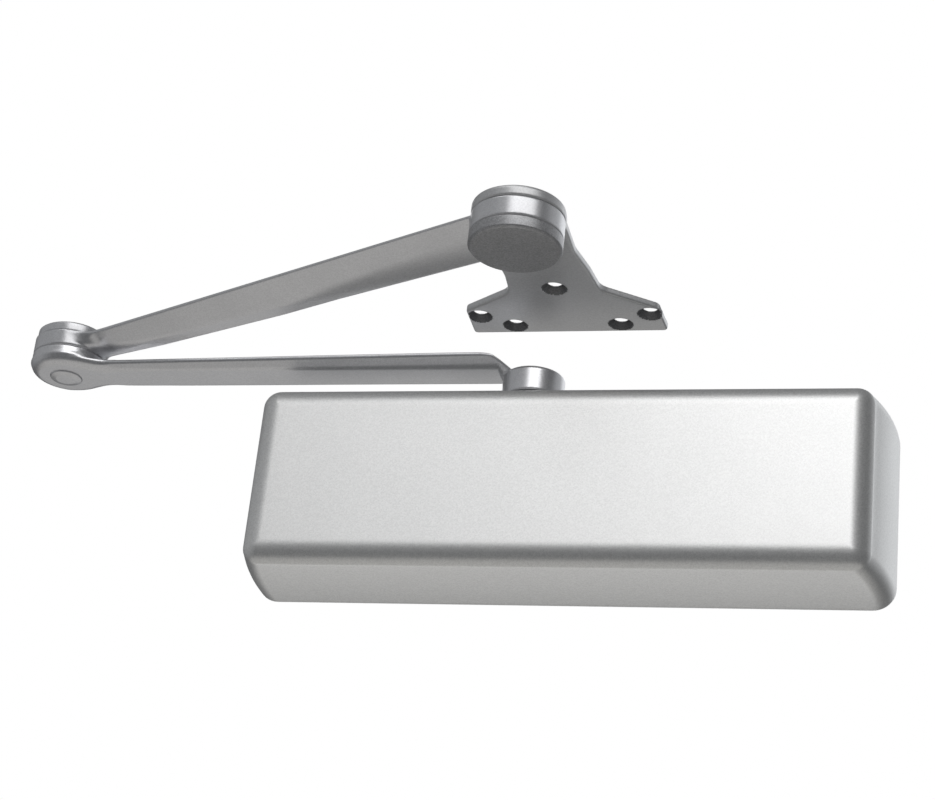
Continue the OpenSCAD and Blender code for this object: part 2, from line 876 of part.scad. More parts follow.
module main_arm() {
    hub_side = pinion_x - hub_r;
    elbow_half = 10.3;
    hub_half = 12.3;
    edge = 2.5;
    bend = 5;
    root_z = hub_z + 6;
    root_right = hub_side + 8;
    recess_r = arm_washer_r + 0.4;
    color("darkgray") difference() {
        union() {
            at_elbow(arm_z) turned([
                [0, 0], [elbow_r - edge, 0], [elbow_r - edge * 0.3, edge * 0.3],
                [elbow_r, edge], [elbow_r, boss_h], [0, boss_h]
            ]);
            at_pinion(hub_z) turned([
                [0, 0], [hub_r, 0], [hub_r, hub_h - edge],
                [hub_r - edge * 0.3, hub_h - edge * 0.3], [hub_r - edge, hub_h], [0, hub_h]
            ]);
            intersection() {
                translate([0, axis_y - arm_slab / 2, 0]) rotate([90, 0, 0]) mirror([0, 0, 1]) {
                    linear_extrude(arm_slab) polygon([
                        [elbow_x, arm_z], [hub_side - 2, arm_z], [hub_side + 1, root_z],
                        [root_right, root_z], [root_right, hub_top],
                        [hub_side - bend, arm_z + arm_t], [elbow_x, arm_z + arm_tip_t]
                    ]);
                }
                translate([0, 0, hub_z]) linear_extrude(arm_slab) polygon([
                    [elbow_x, axis_y - elbow_half], [hub_side, axis_y - hub_half],
                    [root_right, axis_y - hub_half], [root_right, axis_y + hub_half],
                    [hub_side, axis_y + hub_half], [elbow_x, axis_y + elbow_half]
                ]);
            }
        }
        at_elbow(arm_z - through) cylinder(r = elbow_pin_r + fit, h = boss_h + 2 * through);
        at_pinion(hub_seat) cylinder(r = recess_r, h = hub_recess + arm_t);
        translate([pinion_x - square_af / 2 - fit, axis_y - square_af / 2 - fit, hub_z - through]) {
            cube([square_af + 2 * fit, square_af + 2 * fit, hub_h + 3 * through]);
        }
    }
}

module arm_washer() {
    color("silver") at_pinion(hub_seat) ring(arm_washer_r, arm_screw_r + 0.3, washer_t);
}

module arm_screw() {
    shank_z = screw_bore_z + 2;
    head_z = hub_seat + washer_t;
    head_r = 7.5;
    head_h = 4;
    dish_r = 4;
    dish_depth = 1.5;
    color("dimgray") at_pinion(0) difference() {
        union() {
            translate([0, 0, shank_z]) cylinder(r = arm_screw_r - fit, h = head_z - shank_z);
            translate([0, 0, head_z]) cylinder(r = head_r, h = head_h, $fn = 6);
        }
        translate([0, 0, head_z + head_h - dish_depth]) cylinder(r = dish_r, h = dish_depth + through);
    }
}

// ---------- elbow ----------

module elbow_pin() {
    top = elbow_disc_z + pin_in_disc;
    color("gray") at_elbow(0) turned([
        [0, arm_z - rivet_head_h], [rivet_head_r * 0.55, arm_z - rivet_head_h * 0.85],
        [rivet_head_r * 0.88, arm_z - rivet_head_h * 0.5], [rivet_head_r, arm_z],
        [elbow_pin_r, arm_z], [elbow_pin_r, top], [0, top]
    ]);
}

module elbow_washer() {
    color("dimgray") at_elbow(arm_z + boss_h) ring(elbow_r - 2.5, elbow_pin_r + fit, seam_washer_t);
}

module elbow_bushing() {
    color("peru") at_elbow(elbow_ring_z) ring(elbow_bush_r, elbow_pin_r + fit, elbow_ring_h);
}

module elbow_disc() {
    r = elbow_r - 0.8;
    h = elbow_disc_h;
    color("darkgray") at_elbow(elbow_disc_z) difference() {
        turned([
            [0, 0], [r, 0], [r, h * 0.45], [r - 0.9, h * 0.72],
            [r - 3.2, h * 0.9], [r - 8, h], [0, h]
        ]);
        translate([0, 0, -through]) cylinder(r = elbow_pin_r + press, h = through + pin_in_disc + press);
    }
}

// ---------- forearm ----------

module along_forearm(z) {
    at_elbow(z) rotate([0, 0, -elbow_angle]) children();
}

module forearm() {
    ring_drop = knuckle_ring_z - elbow_ring_z;
    narrow = 8.6;
    wide = 14.2;
    from_x = 8;
    waist_x = 30;
    to_x = forearm_len - 10;
    shy = 0.35;
    root_half = elbow_r - 6;
    color("darkgray") along_forearm(elbow_ring_z) difference() {
        union() {
            cylinder(r = elbow_r, h = elbow_ring_h);
            translate([forearm_len, 0, ring_drop]) cylinder(r = knuckle_r, h = knuckle_ring_h);
            intersection() {
                translate([0, -arm_slab / 2, 0]) rotate([90, 0, 0]) mirror([0, 0, 1]) {
                    linear_extrude(arm_slab) polygon([
                        [from_x, shy], [to_x, ring_drop + shy],
                        [to_x, ring_drop + knuckle_ring_h - shy], [from_x, elbow_ring_h - shy]
                    ]);
                }
                translate([0, 0, ring_drop]) linear_extrude(arm_slab) polygon([
                    [from_x, -root_half], [waist_x, -narrow], [to_x, -wide],
                    [to_x, wide], [waist_x, narrow], [from_x, root_half]
                ]);
            }
        }
        translate([0, 0, -through]) cylinder(r = elbow_bush_r + fit, h = elbow_ring_h + 2 * through);
        translate([forearm_len, 0, ring_drop - through]) {
            cylinder(r = knuckle_bush_r + fit, h = knuckle_ring_h + 2 * through);
        }
    }
}

module knuckle_bushing() {
    color("peru") at_knuckle(knuckle_ring_z) ring(knuckle_bush_r, knuckle_pin_r + fit, knuckle_ring_h);
}

// ---------- knuckle and bracket ----------

module knuckle_pin() {
    bottom = knuckle_cap_z + cap_floor_t + 2 * fit;
    top = bracket_top - 2 * air;
    color("gray") at_knuckle(bottom) cylinder(r = knuckle_pin_r, h = top - bottom);
}

module knuckle_washers() {
    t = seam_washer_t;
    color("dimgray") for (z = [knuckle_ring_z - air, knuckle_disc_z - t]) {
        at_knuckle(z) ring(knuckle_r - 3, knuckle_pin_r + fit, t);
    }
}

module knuckle_cap() {
    r = knuckle_r;
    h = knuckle_cap_h;
    color("slategray") at_knuckle(knuckle_cap_z) difference() {
        turned([[0, 0], [r - 1.6, 0], [r - 0.5, 0.5], [r, 1.6], [r, h], [0, h]]);
        translate([0, 0, cap_floor_t]) cylinder(r = knuckle_pin_r + press, h = h);
    }
}

// The plate's outline, from the knuckle's right side round the foot to its left side
function plate_outline() =
    let (
        half = foot_w / 2,
        neck = 21,
        wing_y = outer_pair_y - 6,
        neck_y = single_hole_y + 2
    )
    [
        [knuckle_r - 2, 0], [knuckle_r - 2, neck_y * 0.5], [foot_shift + neck - 2, neck_y * 0.75],
        [foot_shift + neck, neck_y], [foot_shift + half - 2, wing_y],
        [foot_shift + half, wing_y + 3], [foot_shift + half + 0.5, foot_reach - 2],
        [foot_shift + half - 1.5, foot_reach], [foot_shift - half + 1.5, foot_reach],
        [foot_shift - half - 0.5, foot_reach - 2], [foot_shift - half, wing_y + 3],
        [foot_shift - half + 2, wing_y], [foot_shift - neck - 2, neck_y + 2],
        [foot_shift - neck - 1, neck_y * 0.8], [-knuckle_r + 2, neck_y * 0.5], [-knuckle_r + 2, 0]
    ];

function bracket_holes() = [
    [foot_shift, single_hole_y],
    [foot_shift - outer_pair_span / 2, outer_pair_y], [foot_shift + outer_pair_span / 2, outer_pair_y],
    [foot_shift - inner_pair_span / 2, inner_pair_y], [foot_shift + inner_pair_span / 2, inner_pair_y]
];

module soffit_bracket() {
    sink = countersink_r - bracket_hole_r;
    color("darkgray") at_knuckle(bracket_top - plate_t) difference() {
        union() {
            linear_extrude(plate_t) polygon(plate_outline());
            translate([0, 0, plate_t - knuckle_disc_h]) turned([
                [0, 0], [knuckle_r, 0], [knuckle_r, knuckle_disc_h - 2],
                [knuckle_r - 0.6, knuckle_disc_h - 0.6], [knuckle_r - 2, knuckle_disc_h], [0, knuckle_disc_h]
            ]);
        }
        for (p = bracket_holes()) {
            translate([p[0], p[1], -through]) cylinder(r = bracket_hole_r, h = plate_t + 2 * through);
            translate([p[0], p[1], 0]) turned([
                [0, -through], [countersink_r, -through], [countersink_r, 0],
                [bracket_hole_r, sink], [0, sink]
            ]);
        }
        translate([0, 0, -knuckle_disc_h]) cylinder(r = knuckle_pin_r + press, h = 2 * knuckle_disc_h);
    }
}

closer_body();
left_plug();
left_plug_seal();
spring_cap();
spring_cap_seal();
spring_adjuster();
adjuster_seal();
adjuster_clip();
spring_seat();
main_spring();
piston();
piston_rings();
check_ball();
check_ball_retainer();
pinion();
upper_bearing();
lower_bearing();
shaft_seal();
bearing_nut();
lower_plug();
lower_plug_seal();
sweep_valve();
latch_valve();
backcheck_valve();
valve_seals();
cover();
cover_clips();
clip_screws();
main_arm();
arm_washer();
arm_screw();
elbow_pin();
elbow_washer();
elbow_bushing();
elbow_disc();
forearm();
knuckle_bushing();
knuckle_pin();
knuckle_washers();
knuckle_cap();
soffit_bracket();
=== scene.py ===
"""Looks for the door closer: detailed pieces, materials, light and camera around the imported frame."""

import json
import math

import bmesh
import bpy
import numpy as np
from mathutils import Matrix, Vector


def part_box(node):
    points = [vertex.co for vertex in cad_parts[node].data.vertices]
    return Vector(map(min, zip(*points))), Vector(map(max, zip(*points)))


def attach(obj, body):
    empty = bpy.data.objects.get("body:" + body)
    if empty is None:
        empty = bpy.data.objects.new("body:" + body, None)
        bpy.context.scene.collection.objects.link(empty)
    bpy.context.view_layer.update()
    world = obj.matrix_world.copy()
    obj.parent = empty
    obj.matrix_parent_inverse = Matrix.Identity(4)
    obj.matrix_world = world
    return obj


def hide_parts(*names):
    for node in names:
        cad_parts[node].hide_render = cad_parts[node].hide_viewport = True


MM = 0.001
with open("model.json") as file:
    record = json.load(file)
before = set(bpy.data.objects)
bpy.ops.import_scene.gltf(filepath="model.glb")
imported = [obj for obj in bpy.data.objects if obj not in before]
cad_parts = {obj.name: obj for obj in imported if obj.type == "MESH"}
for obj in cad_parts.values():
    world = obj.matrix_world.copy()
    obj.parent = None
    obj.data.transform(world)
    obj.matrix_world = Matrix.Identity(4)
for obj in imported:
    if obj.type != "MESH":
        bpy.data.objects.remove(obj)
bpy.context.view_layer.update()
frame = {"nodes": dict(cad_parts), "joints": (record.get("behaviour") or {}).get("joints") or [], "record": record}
NODES = frame["nodes"]


# ---------- places read from the frame, in millimetres ----------

def box_mm(node):
    low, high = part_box(node)
    return np.array(low) / MM, np.array(high) / MM


def joint_mm(name):
    found = [j for j in frame["joints"] if j["name"] == name][0]
    return np.array(found["pos_m"]) / MM


PINION_X, AXIS_Y, _ = joint_mm("pinion_swing")
ELBOW_X = joint_mm("elbow")[0]
KNUCKLE_X, KNUCKLE_Y, _ = joint_mm("bracket_swivel")
FOREARM_LENGTH = math.hypot(KNUCKLE_X - ELBOW_X, KNUCKLE_Y - AXIS_Y)
FOREARM_ANGLE = math.atan2(AXIS_Y - KNUCKLE_Y, KNUCKLE_X - ELBOW_X)


# ---------- distance fields ----------
# A field gives the distance to a form's surface in millimetres, negative inside.

def smooth_step(t, low, high):
    s = np.clip((t - low) / (high - low), 0, 1)
    return s * s * (3 - 2 * s)


def smooth_min(a, b, k):
    h = np.clip(0.5 + 0.5 * (b - a) / k, 0, 1)
    return b + (a - b) * h - k * h * (1 - h)


def smooth_max(a, b, k):
    return -smooth_min(-a, -b, k)


def round_max(a, b, r):
    """What is inside both forms, with the edge between them rounded to radius r."""
    return np.minimum(np.maximum(a, b), -r) + np.hypot(np.maximum(a + r, 0), np.maximum(b + r, 0))


def round_min(a, b, r):
    """What is inside either form, with the corner between them filled to radius r."""
    return np.maximum(np.minimum(a, b), r) - np.hypot(np.maximum(r - a, 0), np.maximum(r - b, 0))


def slab(t, low, high):
    return np.abs(t - (low + high) / 2) - (high - low) / 2


def disc(x, y, r):
    return np.hypot(x, y) - r


def plate(plan, z, low, high, low_edge, high_edge):
    """A plan outline between two levels, with its lower and upper edges rounded."""
    return round_max(round_max(plan, low - z, low_edge), z - high, high_edge)


def block(x, y, z, low, high, edge):
    """A box with rounded edges between two corners."""
    d = [slab(t, a + edge, b - edge) for t, a, b in zip((x, y, z), low, high)]
    outside = np.sqrt(sum(np.maximum(t, 0) ** 2 for t in d))
    return outside + np.minimum(np.maximum(np.maximum(d[0], d[1]), d[2]), 0) - edge


def segment_distance(x, y, a, b):
    ex, ey = b[0] - a[0], b[1] - a[1]
    wx, wy = x - a[0], y - a[1]
    t = np.clip((wx * ex + wy * ey) / (ex * ex + ey * ey), 0, 1)
    return np.hypot(wx - ex * t, wy - ey * t)


def outline_distance(x, y, points):
    """Signed distance to a closed outline in the plane, negative inside."""
    shape = np.broadcast(x, y).shape
    best = np.full(shape, 1e9)
    inside = np.zeros(shape, bool)
    for a, b in zip(points, points[1:] + points[:1]):
        best = np.minimum(best, segment_distance(x, y, a, b))
        if a[1] != b[1]:
            at = (b[0] - a[0]) * (y - a[1]) / (b[1] - a[1]) + a[0]
            inside ^= ((a[1] > y) != (b[1] > y)) & (x < at)
    return np.where(inside, -best, best)


def rounded_outline(corners):
    """An outline's points, from corners given as (x, y, radius)."""
    steps = 8
    points = []
    count = len(corners)
    for i, (x, y, r) in enumerate(corners):
        p = Vector((x, y))
        before = (Vector(corners[i - 1][:2]) - p).normalized()
        after = (Vector(corners[(i + 1) % count][:2]) - p).normalized()
        half = before.angle(after) / 2
        if r <= 0 or half > math.radians(89):
            points.append((x, y))
            continue
        reach = r / math.tan(half)
        centre = p + (before + after).normalized() * (r / math.sin(half))
        start, end = p + before * reach - centre, p + after * reach - centre
        turn = start.angle_signed(end)
        for s in range(steps + 1):
            spoke = start.copy()
            spoke.rotate(Matrix.Rotation(-turn * s / steps, 2))
            points.append(tuple(centre + spoke))
    return points


# ---------- meshes ----------

def mesh_object(name, verts, faces):
    mesh = bpy.data.meshes.new(name)
    mesh.from_pydata([tuple(v) for v in verts], [], [tuple(f) for f in faces])
    mesh.validate()
    obj = bpy.data.objects.new(name, mesh)
    bpy.context.scene.collection.objects.link(obj)
    return obj


def net_points(field, low, high, cell):
    """Points and four-sided faces of a field's surface, one point in each grid cell that it crosses."""
    counts = [int(math.ceil((b - a) / cell)) + 1 for a, b in zip(low, high)]
    axes = [a + cell * np.arange(n) for a, n in zip(low, counts)]
    x, y, z = np.meshgrid(*axes, indexing="ij", sparse=True)
    slices = [field(x[i:i + 48], y, z).astype(np.float32) for i in range(0, counts[0], 48)]
    values = np.concatenate(slices)
    inside = values < 0
    corners = [(i, j, k) for i in (0, 1) for j in (0, 1) for k in (0, 1)]
    size = [n - 1 for n in counts]

    def shifted(grid, c):
        return grid[c[0]:c[0] + size[0], c[1]:c[1] + size[1], c[2]:c[2] + size[2]]

    total = sum(shifted(inside, c).astype(np.int8) for c in corners)
    active = (total > 0) & (total < 8)
    cells = np.argwhere(active)
    index = np.full(size, -1, np.int64)
    index[active] = np.arange(len(cells))
    place, crossings = np.zeros((len(cells), 3)), np.zeros(len(cells))
    for a in corners:
        for step in range(3):
            if a[step]:
                continue
            b = tuple(v + (i == step) for i, v in enumerate(a))
            va, vb = values[tuple((cells + a).T)], values[tuple((cells + b).T)]
            crossed = (va < 0) != (vb < 0)
            t = va[crossed] / (va[crossed] - vb[crossed])
            place[crossed] += np.array(a) + t[:, None] * (np.array(b) - np.array(a))
            crossings[crossed] += 1
    verts = np.array(low) + cell * (cells + place / crossings[:, None])

    faces = []
    for axis in range(3):
        u, v = [i for i in range(3) if i != axis]
        first = [slice(1, n - 1) for n in counts]
        second = list(first)
        first[axis], second[axis] = slice(0, counts[axis] - 1), slice(1, counts[axis])
        starts_in, ends_in = inside[tuple(first)], inside[tuple(second)]
        offset = np.ones(3, int)
        offset[axis] = 0
        eu, ev = np.eye(3, dtype=int)[u], np.eye(3, dtype=int)[v]
        for outward in (True, False):
            hits = np.argwhere((starts_in != ends_in) & (starts_in == outward)) + offset
            ring = [hits - eu - ev, hits - ev, hits, hits - eu]
            quads = np.stack([index[tuple(r.T)] for r in ring], axis=1)
            faces.append(quads if outward == (axis != 1) else quads[:, ::-1])
    return verts, np.concatenate(faces)


def settled(field, verts, cell):
    """The points moved onto the field's surface."""
    eps = 0.02
    for _ in range(3):
        x, y, z = verts.T
        value = field(x, y, z)
        slope = np.stack([
            field(x + eps, y, z) - field(x - eps, y, z),
            field(x, y + eps, z) - field(x, y - eps, z),
            field(x, y, z + eps) - field(x, y, z - eps),
        ], axis=1) / (2 * eps)
        steepness = np.maximum((slope ** 2).sum(1), 0.2)
        move = -slope * (value / steepness)[:, None]
        length = np.linalg.norm(move, axis=1)
        move *= np.minimum(1, 0.45 * cell / np.maximum(length, 1e-9))[:, None]
        verts = verts + move
    return verts


def field_piece(name, field, low, high, cell=0.6):
    verts, faces = net_points(field, low, high, cell)
    verts = settled(field, verts, cell)
    obj = mesh_object(name, verts * MM, faces)
    smooth(obj)
    return obj


def smooth(obj, sharp_over=None):
    mesh = obj.data
    mesh.polygons.foreach_set("use_smooth", [True] * len(mesh.polygons))
    if sharp_over is not None:
        bm = bmesh.new()
        bm.from_mesh(mesh)
        for edge in bm.edges:
            if len(edge.link_faces) == 2 and edge.calc_face_angle() > math.radians(sharp_over):
                edge.smooth = False
        bm.to_mesh(mesh)
        bm.free()
    mesh.update()


def rounded_profile(corners):
    """A lathe profile from (radius, height, edge radius) corners; the ends stay sharp."""
    steps = 5
    points = [tuple(corners[0][:2])]
    for before, corner, after in zip(corners, corners[1:], corners[2:]):
        x, y, r = corner
        p = Vector((x, y))
        a = (Vector(before[:2]) - p).normalized()
        b = (Vector(after[:2]) - p).normalized()
        half = a.angle(b) / 2
        if r <= 0:
            points.append((x, y))
            continue
        reach = r / math.tan(half)
        for s in range(steps + 1):
            t = s / steps
            start, end = p + a * reach, p + b * reach
            points.append(tuple((1 - t) ** 2 * start + 2 * t * (1 - t) * p + t * t * end))
    points.append(tuple(corners[-1][:2]))
    return points


def lathe(name, profile, centre):
    """A turned piece about a line along Z through centre, from (radius, height) points in millimetres."""
    segments = 96
    verts, rings = [], []
    for r, h in profile:
        if r < 1e-6:
            rings.append([len(verts)])
            verts.append((centre[0], centre[1], h))
            continue
        rings.append(list(range(len(verts), len(verts) + segments)))
        for s in range(segments):
            a = 2 * math.pi * s / segments
            verts.append((centre[0] + r * math.cos(a), centre[1] + r * math.sin(a), h))
    faces = []
    closed = rings + ([rings[0]] if len(rings[0]) > 1 else [])
    for a, b in zip(closed, closed[1:]):
        for s in range(segments):
            n = (s + 1) % segments
            if len(a) == 1 and len(b) > 1:
                faces.append((a[0], b[n], b[s]))
            elif len(b) == 1 and len(a) > 1:
                faces.append((a[s], a[n], b[0]))
            elif len(a) > 1:
                faces.append((a[s], a[n], b[n], b[s]))
    obj = mesh_object(name, np.array(verts) * MM, faces)
    outward(obj)
    smooth(obj, sharp_over=40)
    return obj


def outward(obj):
    bm = bmesh.new()
    bm.from_mesh(obj.data)
    bmesh.ops.recalc_face_normals(bm, faces=bm.faces)
    bm.to_mesh(obj.data)
    bm.free()


def apply_modifiers(obj):
    graph = bpy.context.evaluated_depsgraph_get()
    mesh = bpy.data.meshes.new_from_object(obj.evaluated_get(graph))
    obj.modifiers.clear()
    obj.data = mesh


# ---------- materials ----------
# Texture scales count features per metre, bump distances are metres.

class Nodes:
    """Short calls for building one material's node tree."""

    def __init__(self, name):
        self.material = bpy.data.materials.new(name)
        self.material.use_nodes = True
        self.tree = self.material.node_tree
        self.shader = self.tree.nodes["Principled BSDF"]
        self.place = self.add("ShaderNodeTexCoord").outputs["Object"]

    def add(self, kind, **settings):
        node = self.tree.nodes.new(kind)
        for key, value in settings.items():
            setattr(node, key, value)
        return node

    def link(self, out, socket):
        self.tree.links.new(out, socket)

    def stretched(self, scale):
        node = self.add("ShaderNodeMapping")
        node.inputs["Scale"].default_value = scale
        self.link(self.place, node.inputs["Vector"])
        return node.outputs["Vector"]

    def noise(self, scale, detail=2, rough=0.5, at=None):
        node = self.add("ShaderNodeTexNoise")
        self.link(at or self.place, node.inputs["Vector"])
        node.inputs["Scale"].default_value = scale
        node.inputs["Detail"].default_value = detail
        node.inputs["Roughness"].default_value = rough
        return node.outputs["Fac"]

    def flakes(self, scale):
        node = self.add("ShaderNodeTexVoronoi")
        self.link(self.place, node.inputs["Vector"])
        node.inputs["Scale"].default_value = scale
        part = self.add("ShaderNodeSeparateColor")
        self.link(node.outputs["Color"], part.inputs[0])
        return part.outputs[0]

    def spread(self, fac, low, high, into=(0.0, 1.0)):
        node = self.add("ShaderNodeMapRange")
        self.link(fac, node.inputs["Value"])
        for key, value in zip(("From Min", "From Max", "To Min", "To Max"), (low, high) + into):
            node.inputs[key].default_value = value
        return node.outputs["Result"]

    def maths(self, kind, a, b):
        node = self.add("ShaderNodeMath", operation=kind)
        for socket, value in zip(node.inputs, (a, b)):
            if isinstance(value, (int, float)):
                socket.default_value = value
            else:
                self.link(value, socket)
        return node.outputs[0]

    def edges(self, low=0.52, high=0.60):
        node = self.add("ShaderNodeNewGeometry")
        return self.spread(node.outputs["Pointiness"], low, high)

    def mix(self, fac, a, b):
        node = self.add("ShaderNodeMix", data_type="RGBA")
        sockets = [node.inputs["Factor"]] + [s for s in node.inputs if s.type == "RGBA"]
        for socket, value in zip(sockets, (fac, a, b)):
            if isinstance(value, tuple):
                socket.default_value = value + (1,)
            elif isinstance(value, (int, float)):
                socket.default_value = value
            else:
                self.link(value, socket)
        return [s for s in node.outputs if s.type == "RGBA"][0]

    def bump(self, height, strength, distance, after=None):
        node = self.add("ShaderNodeBump")
        self.link(height, node.inputs["Height"])
        node.inputs["Strength"].default_value = strength
        node.inputs["Distance"].default_value = distance
        if after is not None:
            self.link(after, node.inputs["Normal"])
        return node.outputs["Normal"]

    def finish(self, color, roughness, normal=None, metallic=1.0):
        self.link(color, self.shader.inputs["Base Color"])
        self.link(roughness, self.shader.inputs["Roughness"])
        if normal is not None:
            self.link(normal, self.shader.inputs["Normal"])
        self.shader.inputs["Metallic"].default_value = metallic
        return self.material


def shade(color, factor):
    return tuple(min(1.0, c * factor) for c in color)


def flake_paint(name, color, roughness, metallic, grain, mottle, edge_highlight):
    """Metallic paint: tiny flakes, soft mottling, orange peel and slightly brighter edges, which are a painted
    highlight.
    """
    n = Nodes(name)
    flakes = n.flakes(1900)
    cloud = n.noise(38, detail=4)
    peel = n.noise(620, detail=2)
    fine = n.noise(2600, detail=1)
    base = n.mix(n.spread(flakes, 0, 1), shade(color, 1 - grain), shade(color, 1 + grain))
    base = n.mix(n.spread(cloud, 0.35, 0.65, (0.0, mottle * 4)), base, shade(color, 0.86))
    # painted highlight: convex edges are made lighter
    base = n.mix(n.maths("MULTIPLY", n.edges(), 0.6), base, shade(color, edge_highlight))
    drift = mottle * 0.4
    rough = n.maths("ADD", n.spread(cloud, 0.3, 0.7, (roughness - drift, roughness + drift)),
                    n.spread(flakes, 0, 1, (-0.02, 0.02)))
    normal = n.bump(fine, 0.07, 0.00005, n.bump(peel, 0.06, 0.00010))
    return n.finish(base, rough, normal, metallic)


def cast_metal(name, color, roughness, metallic):
    """Sand-cast metal with a sprayed finish: coarse grain, pits and rubbed edges."""
    n = Nodes(name)
    coarse = n.noise(260, detail=6, rough=0.65)
    cloud = n.noise(30, detail=4)
    pits = n.spread(n.noise(900, detail=2), 0.62, 0.75)
    base = n.mix(n.spread(cloud, 0.35, 0.65), shade(color, 0.88), shade(color, 1.08))
    base = n.mix(n.maths("MULTIPLY", pits, 0.35), base, shade(color, 0.55))
    base = n.mix(n.maths("MULTIPLY", n.edges(0.53, 0.62), 0.7), base, shade(color, 1.45))
    rough = n.spread(coarse, 0.3, 0.7, (roughness - 0.06, roughness + 0.08))
    normal = n.bump(coarse, 0.35, 0.00025, n.bump(pits, 0.2, 0.0001))
    return n.finish(base, rough, normal, metallic)


def turned_metal(name, color, roughness, stretch, metallic):
    """Machined metal with fine tool marks that run round the part."""
    n = Nodes(name)
    marks = n.noise(1.0, detail=3, at=n.stretched(stretch))
    cloud = n.noise(55, detail=4)
    base = n.mix(n.spread(cloud, 0.35, 0.65), shade(color, 0.8), shade(color, 1.08))
    base = n.mix(n.maths("MULTIPLY", n.edges(), 0.5), base, shade(color, 1.25))
    rough = n.maths("ADD", n.spread(marks, 0.3, 0.7, (roughness - 0.05, roughness + 0.06)),
                    n.spread(cloud, 0.3, 0.7, (-0.03, 0.03)))
    return n.finish(base, rough, n.bump(marks, 0.25, 0.00003), metallic)


def rubber(name):
    """Dull black rubber with a faint bloom."""
    n = Nodes(name)
    cloud = n.noise(120, detail=4)
    fine = n.noise(1500, detail=2)
    base = n.mix(cloud, (0.018, 0.018, 0.019), (0.045, 0.045, 0.046))
    return n.finish(base, n.spread(cloud, 0.3, 0.7, (0.5, 0.68)), n.bump(fine, 0.2, 0.00004), 0.0)


# Paints: colour, roughness, metallic, grain, mottling, brightness of the painted highlight on edges
PAINTS = {
    "cover_paint": ((0.74, 0.74, 0.735), 0.40, 0.80, 0.09, 0.01, 1.12),
    "cover_inside": ((0.50, 0.50, 0.50), 0.50, 0.70, 0.05, 0.10, 1.12),
    "arm_paint": ((0.70, 0.70, 0.715), 0.325, 0.92, 0.08, 0.04, 1.15),
    "cap_metal": ((0.44, 0.44, 0.45), 0.44, 0.90, 0.18, 0.02, 1.3),
    "bracket_paint": ((0.63, 0.63, 0.635), 0.42, 0.92, 0.08, 0.03, 1.12),
    # painted shade: a much darker paint for the countersinks' sloped faces, in place of the shade inside these
    # hollows
    "countersink_painted_shade": ((0.20, 0.20, 0.205), 0.50, 0.90, 0.20, 0.05, 1.12),
}
# Turned metals: colour, roughness, how close the tool marks lie along X, Y and Z, metallic
TURNED_METALS = {
    "machined_steel": ((0.60, 0.60, 0.61), 0.28, (300, 300, 4200), 1.0),
    "dark_steel": ((0.20, 0.20, 0.21), 0.40, (900, 900, 900), 0.9),
    "spring_steel": ((0.34, 0.35, 0.38), 0.30, (700, 700, 700), 1.0),
    "bronze": ((0.58, 0.40, 0.20), 0.36, (300, 300, 3800), 1.0),
    "valve_brass": ((0.72, 0.55, 0.25), 0.28, (3200, 300, 3200), 1.0),
}
MATERIALS = {name: flake_paint(name, *look) for name, look in PAINTS.items()}
MATERIALS.update({name: turned_metal(name, *look) for name, look in TURNED_METALS.items()})
MATERIALS["body_casting"] = cast_metal("body_casting", (0.40, 0.41, 0.42), 0.52, 0.75)
MATERIALS["seal_rubber"] = rubber("seal_rubber")


def dress(obj, *names):
    obj.data.materials.clear()
    for name in names:
        obj.data.materials.append(MATERIALS[name])


def put(obj, body, slot, nodes=(), material=None):
    """Gives a new piece its material (the slot's, unless another is named) and its body, and hides the CAD nodes
    that it stands for.
    """
    dress(obj, material or slot)
    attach(obj, body)
    if nodes:
        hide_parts(*nodes)


# ---------- cover ----------

def ring_outline(left, right, half_z, r):
    """A rounded rectangle's points in X and Z, the same number whatever its size."""
    arc_steps, long_steps, short_steps = 10, 14, 6
    points = []
    corners = [(right - r, half_z - r), (r - left, half_z - r),
               (r - left, r - half_z), (right - r, r - half_z)]
    for i, (cx, cz) in enumerate(corners):
        for s in range(arc_steps + 1):
            a = math.radians(90 * i + 90 * s / arc_steps)
            points.append((cx + r * math.cos(a), cz + r * math.sin(a)))
        nx, nz = corners[(i + 1) % 4]
        a = math.radians(90 * i + 90)
        first = Vector((cx + r * math.cos(a), cz + r * math.sin(a)))
        last = Vector((nx + r * math.cos(a), nz + r * math.sin(a)))
        steps = long_steps if i % 2 == 0 else short_steps
        for s in range(1, steps):
            points.append(tuple(first.lerp(last, s / steps)))
    return points


def cover_rings(inset, size):
    """Outlines (left, right, half height, corner radius, y) from the open back to the middle of the front."""
    rings = []
    run = size["edge_r"] - size["depth"] - size["back_y"]
    steps = 12
    for s in range(steps + 1):
        t = s / steps
        rings.append((
            size["front_half"] + size["left_flare"] * (1 - t * t) - inset,
            size["front_half"] + size["right_flare"] * (1 - t * t) - inset,
            size["front_half_z"] + size["top_flare"] * (1 - t * t) - inset,
            size["back_corner"] + (size["front_corner"] - size["back_corner"]) * t - inset,
            size["back_y"] + run * t,
        ))
    arc_steps = 14
    reach_in, reach_out = size["edge_in"] - inset, size["edge_r"] - inset
    for s in range(1, arc_steps + 1):
        a = math.pi / 2 * s / arc_steps
        drop = inset + reach_in * (1 - math.cos(a))
        rings.append((
            size["front_half"] - drop, size["front_half"] - drop, size["front_half_z"] - drop,
            max(size["front_corner"] - drop, 0.6), size["edge_r"] - size["depth"] - reach_out * math.sin(a),
        ))
    left, right, half_z, r, y = rings[-1]
    for share in (0.97, 0.5):
        rings.append((left * share, right * share, half_z * share, max(r * share, 0.5), y))
    return rings


